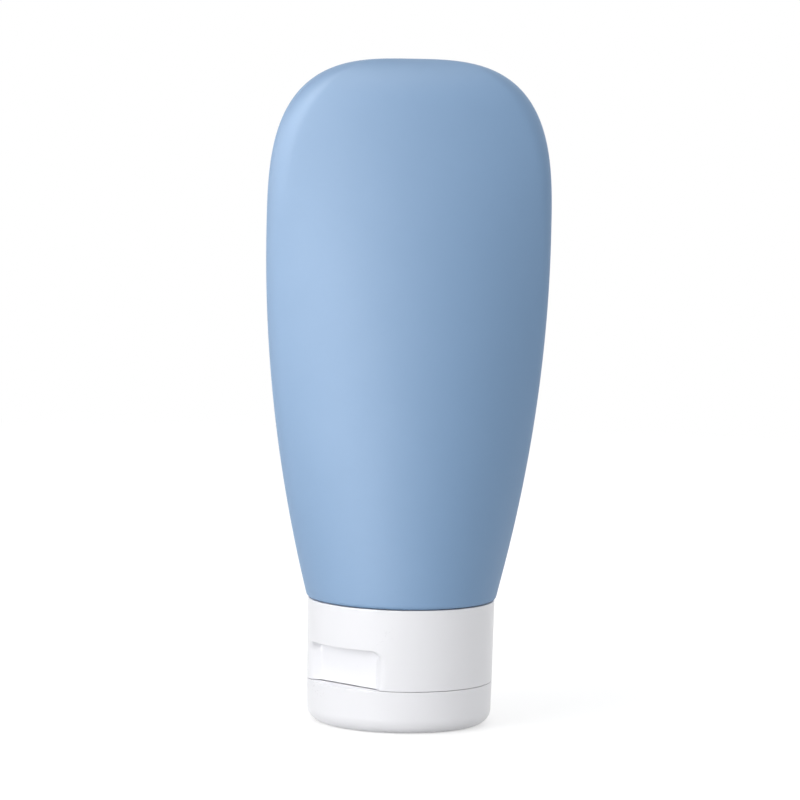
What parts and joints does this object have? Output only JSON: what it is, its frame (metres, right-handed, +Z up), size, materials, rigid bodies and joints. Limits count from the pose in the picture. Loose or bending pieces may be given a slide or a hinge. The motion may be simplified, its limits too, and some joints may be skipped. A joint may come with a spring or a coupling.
{
  "type": "travel squeeze tube",
  "caption": "Soft blow-moulded squeeze tube for toiletries that stands upside down on a flip-top screw cap with a thumb recess.",
  "frame": {"origin": "centre of the bounding box's footprint, on the plane that the lid's flat face stands on", "axes": "+Z up along the tube's axis, from the standing face to the domed end; +X to the right across the broad front, which looks along -Y"},
  "size_m": [0.0514, 0.034, 0.1191],
  "materials": {
    "body_plastic": "matte, soft to the touch, faint moulded grain",
    "cap_plastic": "glossy white moulding",
    "washer_foam": "soft pale sealing ring"
  },
  "bodies": {
    "tube": {"tube_body": "body_plastic"},
    "washer": {"sealing_washer": "washer_foam"},
    "cap": {"cap_base": "cap_plastic", "living_hinge": "cap_plastic"},
    "lid": {"flip_lid": "cap_plastic"}
  },
  "joints": [
    {"name": "unscrew_turn", "type": "hinge", "parent": "cap", "child": "washer", "pos_m": [0, 0, 0.0157], "axis": [0, 0, 1], "range_deg": [0, 450]},
    {"name": "unscrew_travel", "type": "slide", "parent": "washer", "child": "tube", "axis": [0, 0, 1], "range_m": [0, 0.00401]},
    {"name": "lid_flip", "type": "hinge", "parent": "cap", "child": "lid", "pos_m": [0.01271, 0.00993, 0.00775], "axis": [0.6157, -0.788, 0], "range_deg": [0, 168], "deforming": ["living_hinge"]}
  ],
  "couplings": [
    {"joint": "unscrew_travel", "follows": "unscrew_turn", "m_per_rad": 0.0005093}
  ]
}
